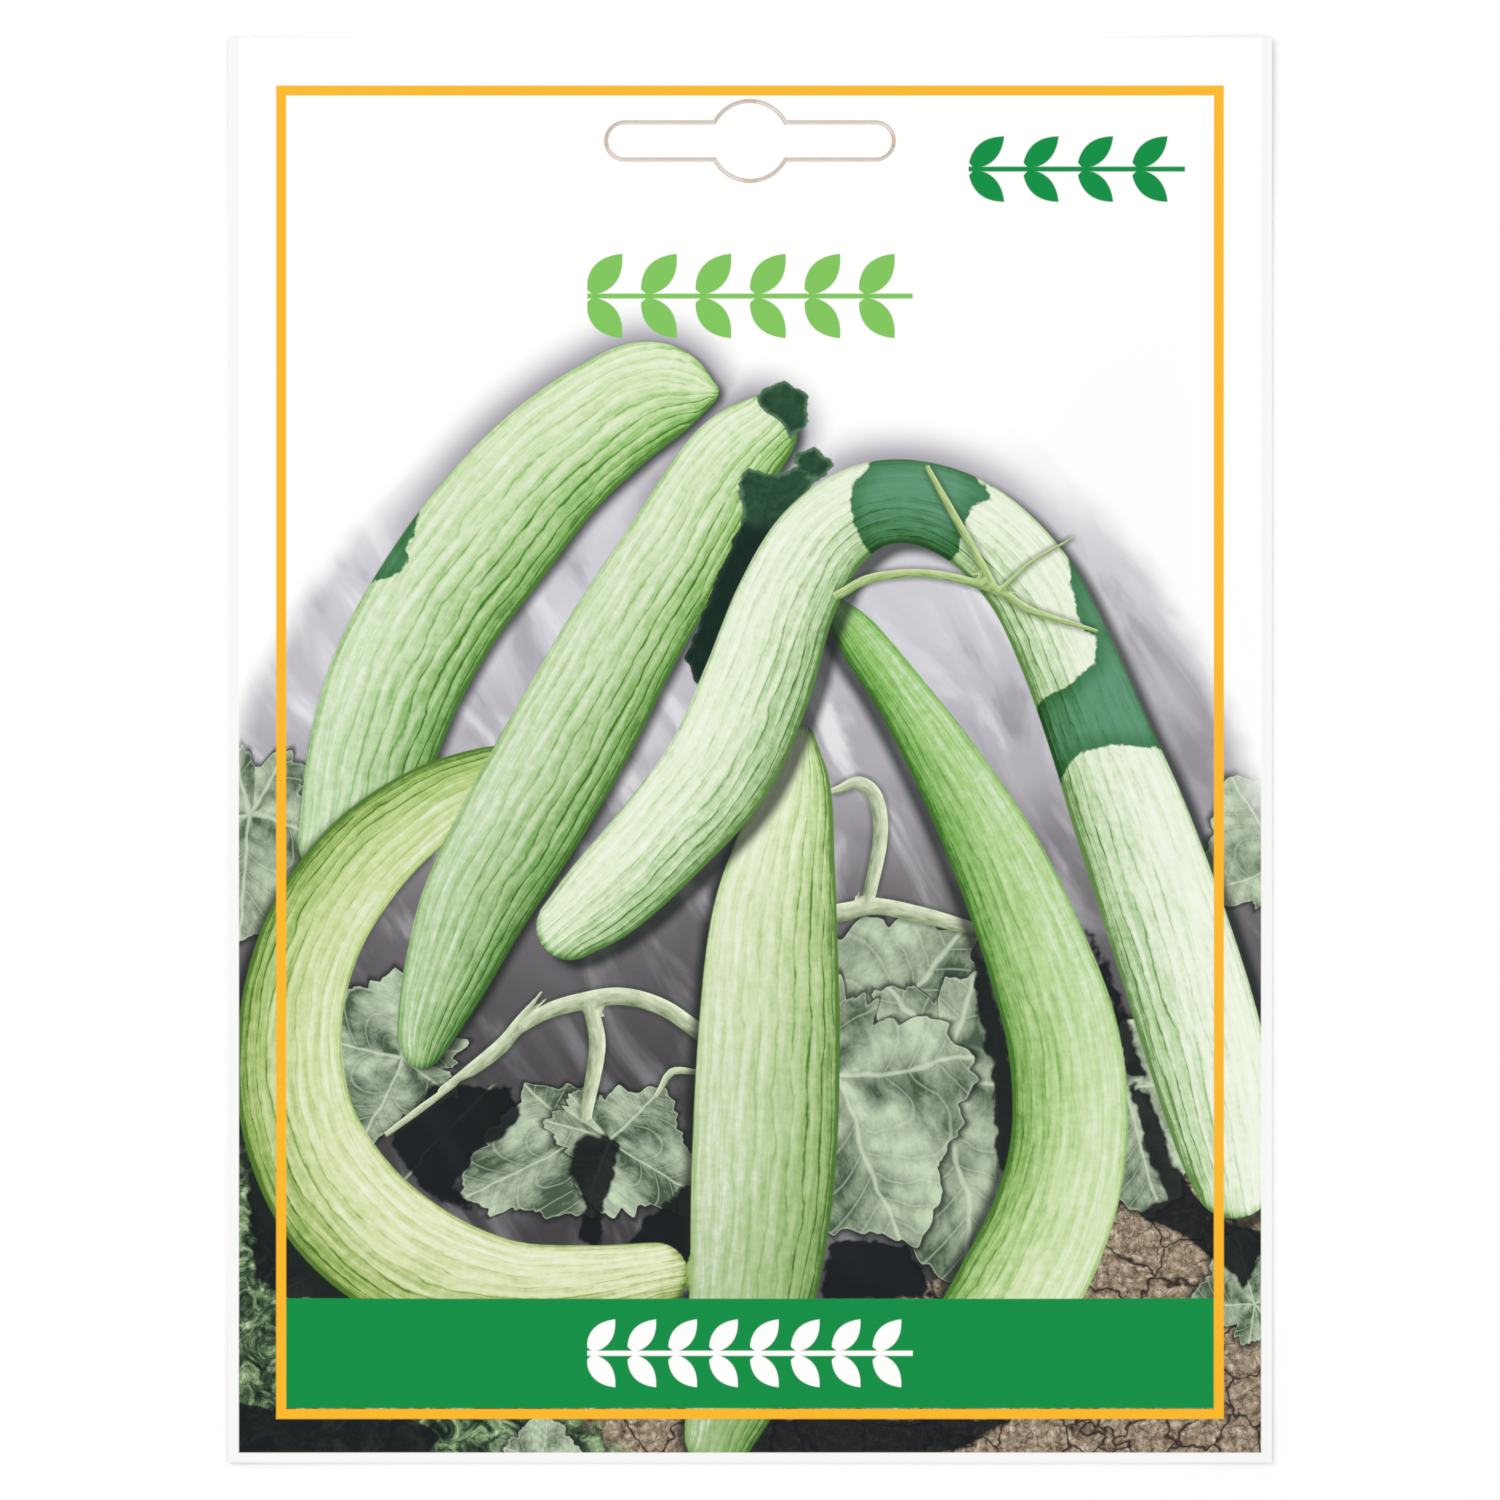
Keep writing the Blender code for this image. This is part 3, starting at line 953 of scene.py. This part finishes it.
def draw_vines(nodes, under, guide, dark, light):
    """Draws streaked round stems, and their soft shadow, over what lies under them."""
    across, outside, along = nodes.split(nodes.attribute(guide))
    inside = nodes.step(nodes.absolute(across), 1.06, 0.94)
    near = nodes.step(outside, 0.5, 0.3)
    streak = nodes.noise(nodes.join(nodes.product(along, 0.35), nodes.product(across, 1.2)), 1.4, detail=3)
    tone = nodes.total(0.5, nodes.product(across, 0.4), nodes.swing(streak, 1.1))
    stem = nodes.mix(nodes.clamp(tone), dark, light)
    shadow = nodes.step(outside, 0.7, 0, end=0.5)
    shaded = nodes.mix(shadow, under, ink(34, 46, 38))
    return nodes.mix(nodes.product(inside, near), shaded, stem)


def whitened(nodes, picture, place, x, y, nearest_fruit):
    """Fades the ground to white paper over and round an arc, except for a grey halo round the fruit."""
    drift = nodes.noise(place, 0.07, detail=3)
    from_middle = nodes.length(nodes.total(x, 1.5), nodes.math("MAXIMUM", nodes.total(y, 16), 0))
    outside = nodes.step(nodes.total(from_middle, nodes.swing(drift, 5)), 55.8, 59.8)
    outside = nodes.product(outside, nodes.step(y, -14, 0))
    above = nodes.step(nodes.total(y, nodes.swing(drift, 14)), 17, 36)
    halo = nodes.math("POWER", nodes.step(nearest_fruit, 6, -0.5), 1.9)
    haloed = nodes.mix(nodes.product(halo, 0.85), PAPER_WHITE, ink(136, 130, 144))
    return nodes.mix(nodes.math("MAXIMUM", outside, above), picture, haloed)


def sprig(nodes, x, y, middle, half_length, pitch, length, half_width, lean):
    """1 inside a straight stem with a pair of leaves at every pitch, 0 outside."""
    x = nodes.minus(x, middle[0])
    y = nodes.minus(y, middle[1])
    wrapped = nodes.math("WRAP", x, pitch, 0)
    up = nodes.absolute(y)
    cosine, sine = math.cos(math.radians(lean)), math.sin(math.radians(lean))
    down_leaf = nodes.total(nodes.product(wrapped, cosine), nodes.product(up, sine))
    aside = nodes.total(nodes.product(up, cosine), nodes.product(wrapped, -sine))
    rest = nodes.minus(length, down_leaf)
    blade = nodes.product(down_leaf, rest, 4 * half_width / length**2)
    leaf = nodes.inside(nodes.minus(nodes.absolute(aside), blade))
    leaf = nodes.product(leaf, nodes.step(down_leaf, 0.5, 0.6))
    stem = nodes.inside(nodes.minus(up, STEM_HALF_WIDTH))
    drawn = nodes.math("MAXIMUM", leaf, stem)
    return nodes.product(drawn, nodes.step(nodes.absolute(x), half_length, half_length - 0.15))


def box_outside(nodes, x, y, half_width, middle_y, half_height):
    """How far a place is outside an upright rectangle: less than 0 inside it."""
    beside = nodes.minus(nodes.absolute(x), half_width)
    above = nodes.minus(nodes.absolute(nodes.minus(y, middle_y)), half_height)
    return nodes.math("MAXIMUM", beside, above)


def slot_line(nodes, x, y):
    """1 on the printed line that the slot's kerf follows, 0 elsewhere."""
    up = nodes.minus(y, (TOP_EDGE - SLOT_BELOW_TOP) / MM)
    past_wing = nodes.minus(nodes.absolute(x), (SLOT_HALF_WIDTH - SLOT_WING_RADIUS) / MM)
    from_wing = nodes.length(nodes.math("MAXIMUM", past_wing, 0), up)
    outside = nodes.math(
        "MINIMUM",
        nodes.minus(from_wing, SLOT_WING_RADIUS / MM),
        nodes.minus(nodes.length(x, up), SLOT_MIDDLE_RADIUS / MM),
    )
    from_line = nodes.absolute(nodes.total(outside, KERF / 2 / MM))
    return nodes.step(from_line, 0.28, 0.18)


def band(nodes, x, y):
    """1 on the bottom band, 0 elsewhere."""
    half_width = FRAME_HALF_WIDTH - FRAME_LINE / 2
    middle_y, half_height = (BAND_TOP + BAND_BOTTOM) / 2, (BAND_TOP - BAND_BOTTOM) / 2
    return nodes.inside(box_outside(nodes, x, y, half_width, middle_y, half_height))


def frame_line(nodes, x, y):
    """1 on the frame's line, 0 elsewhere."""
    outside = box_outside(nodes, x, y, FRAME_HALF_WIDTH, FRAME_MIDDLE_Y, FRAME_HALF_HEIGHT)
    inner_edge = nodes.step(outside, -FRAME_LINE - INK_EDGE, -FRAME_LINE + INK_EDGE)
    return nodes.product(nodes.inside(outside), inner_edge)


def draw_layout(nodes, picture, x, y):
    """Plain leaf sprigs, the slot's line, the green band, the amber frame line, and the unprinted rim."""
    picture = nodes.mix(sprig(nodes, x, y, **TITLE_SPRIG), picture, SPRIG_GREEN)
    picture = nodes.mix(sprig(nodes, x, y, **CORNER_SPRIG), picture, BAND_GREEN)
    picture = nodes.mix(slot_line(nodes, x, y), picture, DIE_LINE)
    picture = nodes.mix(band(nodes, x, y), picture, BAND_GREEN)
    picture = nodes.mix(sprig(nodes, x, y, **BAND_SPRIG), picture, PAPER_WHITE)
    picture = nodes.mix(frame_line(nodes, x, y), picture, AMBER)
    beyond = nodes.math(
        "MAXIMUM",
        nodes.minus(nodes.absolute(x), PRINT_HALF_WIDTH),
        nodes.minus(PRINT_BOTTOM, y),
    )
    return nodes.mix(nodes.step(beyond, -INK_EDGE, INK_EDGE), picture, RIM_WHITE)


def paper_surface(nodes, shader, place, roughness):
    """The laminate's faint orange peel and its slightly uneven gloss."""
    peel = nodes.noise(place, 1.6, detail=3)
    uneven = nodes.noise(place, 0.08, detail=2)
    bump = nodes.add("Bump")
    bump.inputs["Strength"].default_value = 0.05
    bump.inputs["Distance"].default_value = 0.05 * MM
    nodes.feed(bump.inputs["Height"], peel)
    nodes.feed(shader.inputs["Normal"], bump.outputs[0])
    nodes.feed(shader.inputs["Roughness"], nodes.step(uneven, 0.2, 0.8, roughness - 0.05, roughness + 0.05))
    shader.inputs["Specular IOR Level"].default_value = 0.12


def front_print():
    """The picture, drawn from the ground up, with the layout over it."""
    material, nodes, shader = new_material("front_print")
    place = nodes.attribute("print_place")
    x, y, _ = nodes.split(place)
    nearest_fruit, gaps, dark_leaves = nodes.split(nodes.attribute("picture_depth"))
    picture = ground(nodes, place, x, y)
    leaf = leaf_group()
    for number, tone in enumerate(LEAF_TONES):
        guide = nodes.attribute(f"leaf_{number}")
        picture = use_group(nodes, leaf, Under=picture, Place=place, Leaf=guide, Tone=tone)
    picture = deep_shade(nodes, picture, place, gaps)
    picture = draw_vines(nodes, picture, "vines_behind", ink(112, 132, 88), ink(234, 242, 212))
    picture = whitened(nodes, picture, place, x, y, nearest_fruit)
    fruit = fruit_group()
    # The dark leaves are ragged, with pale edges, and lie under the top layer of fruit only.
    dark_leaves = nodes.total(dark_leaves, nodes.swing(nodes.noise(place, 0.55, detail=3), 1.3), -0.2)
    dark_leaf = nodes.mix(nodes.noise(place, 0.8, detail=3), ink(2, 22, 18), ink(52, 100, 68))
    dark_leaf = nodes.mix(nodes.step(dark_leaves, -0.55, -0.1, end=0.35), dark_leaf, ink(128, 168, 128))
    dark_leaf = nodes.mix(nodes.step(y, 26, 23.5, end=0.8), dark_leaf, ink(4, 22, 22))
    for number in range(len(FRUIT_LAYERS)):
        if number == len(FRUIT_LAYERS) - 1:
            picture = nodes.mix(nodes.inside(dark_leaves), picture, dark_leaf)
        guides = {
            kind.title(): nodes.attribute(f"fruit_{number}_{kind}")
            for kind in ("shape", "light", "bands", "body", "pale")
        }
        picture = use_group(nodes, fruit, Under=picture, Place=place, **guides)
    picture = draw_vines(nodes, picture, "vines_in_front", ink(96, 138, 56), ink(214, 230, 170))
    nodes.feed(shader.inputs["Base Color"], draw_layout(nodes, picture, x, y))
    paper_surface(nodes, shader, place, 0.38)
    return material


# ---- The other materials ----


def back_print():
    """White paper with the front's frame line, band and sprig, and an empty chart of twelve columns."""
    material, nodes, shader = new_material("back_print")
    place = nodes.attribute("print_place")
    x, y, _ = nodes.split(place)
    fibres = nodes.noise(place, 0.9, detail=4)
    colour = nodes.mix(nodes.step(fibres, 0.3, 0.7), ink(244, 244, 241), PAPER_WHITE)
    colour = nodes.mix(band(nodes, x, y), colour, BAND_GREEN)
    colour = nodes.mix(sprig(nodes, x, y, **TITLE_SPRIG), colour, SPRIG_GREEN)
    up = nodes.minus(y, CHART_BOTTOM)
    outside_chart = box_outside(nodes, x, up, CHART_HALF_WIDTH, CHART_HALF_HEIGHT, CHART_HALF_HEIGHT)
    from_column = nodes.absolute(nodes.math("WRAP", x, CHART_COLUMN / 2, -CHART_COLUMN / 2))
    from_row = nodes.absolute(nodes.math("WRAP", up, CHART_ROW / 2, -CHART_ROW / 2))
    from_line = nodes.math("MINIMUM", from_column, from_row)
    chart = nodes.product(
        nodes.step(from_line, CHART_LINE, CHART_LINE / 2),
        nodes.step(outside_chart, 2 * CHART_LINE, CHART_LINE),
    )
    colour = nodes.mix(chart, colour, BAND_GREEN)
    nodes.feed(shader.inputs["Base Color"], nodes.mix(frame_line(nodes, x, y), colour, AMBER))
    paper_surface(nodes, shader, place, 0.5)
    return material


def seed_coat():
    """Cream seed coat with paler patches and fine dark grain."""
    material, nodes, shader = new_material("seed_coat")
    place = nodes.add("TexCoord").outputs["Object"]
    patches = nodes.noise(place, 420, detail=3)
    grain = nodes.noise(place, 2600, detail=4)
    colour = nodes.mix(nodes.step(patches, 0.3, 0.7), ink(214, 190, 140), ink(238, 222, 184))
    colour = nodes.mix(nodes.step(grain, 0.45, 0.7, end=0.35), colour, ink(184, 150, 98))
    nodes.feed(shader.inputs["Base Color"], colour)
    nodes.feed(shader.inputs["Roughness"], nodes.step(grain, 0.3, 0.7, 0.45, 0.65))
    bump = nodes.add("Bump")
    bump.inputs["Strength"].default_value = 0.3
    bump.inputs["Distance"].default_value = 0.05 * MM
    nodes.feed(bump.inputs["Height"], grain)
    nodes.feed(shader.inputs["Normal"], bump.outputs[0])
    return material


# ---- The scene ----

# The camera looks straight down, and sees the view's width at the floor.
CAMERA_HEIGHT = 1.2
VIEW_WIDTH = 165.3 * MM
SENSOR = 36
SKY_STRENGTH = 0.745


def add_webs():
    cutter = kerf_cutter()
    front = cut_sheet("front_web", FRONT_LOW.z, cutter)
    back = cut_sheet("back_web", BACK_LOW.z, cutter)
    bpy.data.objects.remove(cutter)
    shape_front(front)
    shape_back(back)
    guide_print(front)
    # Seen from behind, the print runs the other way across.
    places = vertex_places(back.data)
    set_vectors(back.data, "print_place", np.stack((-places[:, 0], places[:, 1], places[:, 2]), 1) / MM)
    front.data.materials.append(front_print())
    back.data.materials.append(back_print())
    for web, node, slot in ((front, "front_panel", "front_paper"), (back, "back_panel", "back_paper")):
        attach(web, "root")
        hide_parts(node)


def finish_seeds():
    coat = seed_coat()
    for name in SEEDS:
        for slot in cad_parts[name].material_slots:
            slot.material = coat


def add_floor():
    bpy.ops.mesh.primitive_plane_add(size=8)
    floor = bpy.context.object
    floor.name = "floor"
    material, _, shader = new_material("floor_white")
    shader.inputs["Base Color"].default_value = (0.99, 0.99, 0.99, 1)
    shader.inputs["Roughness"].default_value = 0.9
    shader.inputs["Specular IOR Level"].default_value = 0
    floor.data.materials.append(material)


def add_light(name, energy, size, place):
    light = bpy.data.lights.new(name, "AREA")
    light.energy = energy
    light.size = size
    lamp = bpy.data.objects.new(name, light)
    lamp.location = place
    aim = -lamp.location
    lamp.rotation_euler = aim.to_track_quat("-Z", "Y").to_euler()
    bpy.context.scene.collection.objects.link(lamp)


def add_lighting():
    world = bpy.data.worlds.new("studio")
    world.use_nodes = True
    background = world.node_tree.nodes["Background"]
    background.inputs["Color"].default_value = (1, 1, 1, 1)
    background.inputs["Strength"].default_value = SKY_STRENGTH
    bpy.context.scene.world = world
    add_light("key", energy=9, size=1.2, place=(-0.9, 0.7, 1.3))
    add_light("fill", energy=4, size=1.6, place=(1.0, -0.5, 1.4))
    bpy.context.scene.view_settings.view_transform = "Standard"


def add_camera():
    data = bpy.data.cameras.new("camera")
    data.sensor_width = SENSOR
    data.lens = SENSOR * CAMERA_HEIGHT / VIEW_WIDTH
    camera = bpy.data.objects.new("camera", data)
    camera.location = (0, 0, CAMERA_HEIGHT)
    bpy.context.scene.collection.objects.link(camera)
    bpy.context.scene.camera = camera


add_webs()
finish_seeds()
add_floor()
add_lighting()
add_camera()
